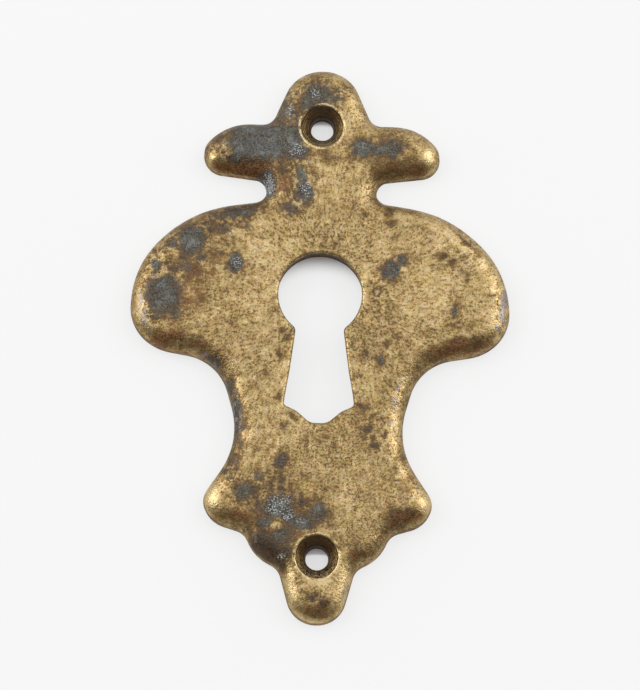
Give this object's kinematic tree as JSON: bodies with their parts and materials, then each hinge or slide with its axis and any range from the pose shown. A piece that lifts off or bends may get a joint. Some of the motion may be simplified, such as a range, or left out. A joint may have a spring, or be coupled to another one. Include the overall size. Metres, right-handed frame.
{
  "type": "keyhole escutcheon",
  "caption": "Scrolled cast brass plate with a rolled edge that surrounds and protects a keyhole, fixed by countersunk wood screws at its crown and finial.",
  "frame": {"origin": "centre of the keyhole's round eye, on the plate's flat back", "axes": "+Z out of the front, along the eye's axis; +Y up the plate, towards the crown; +X to the right seen from the front"},
  "size_m": [0.0442, 0.0655, 0.0028],
  "materials": {
    "aged_brass": "worn satin brass with fine pitting and brown and grey tarnish"
  },
  "bodies": {
    "root": {"escutcheon_plate": "aged_brass"}
  },
  "joints": []
}
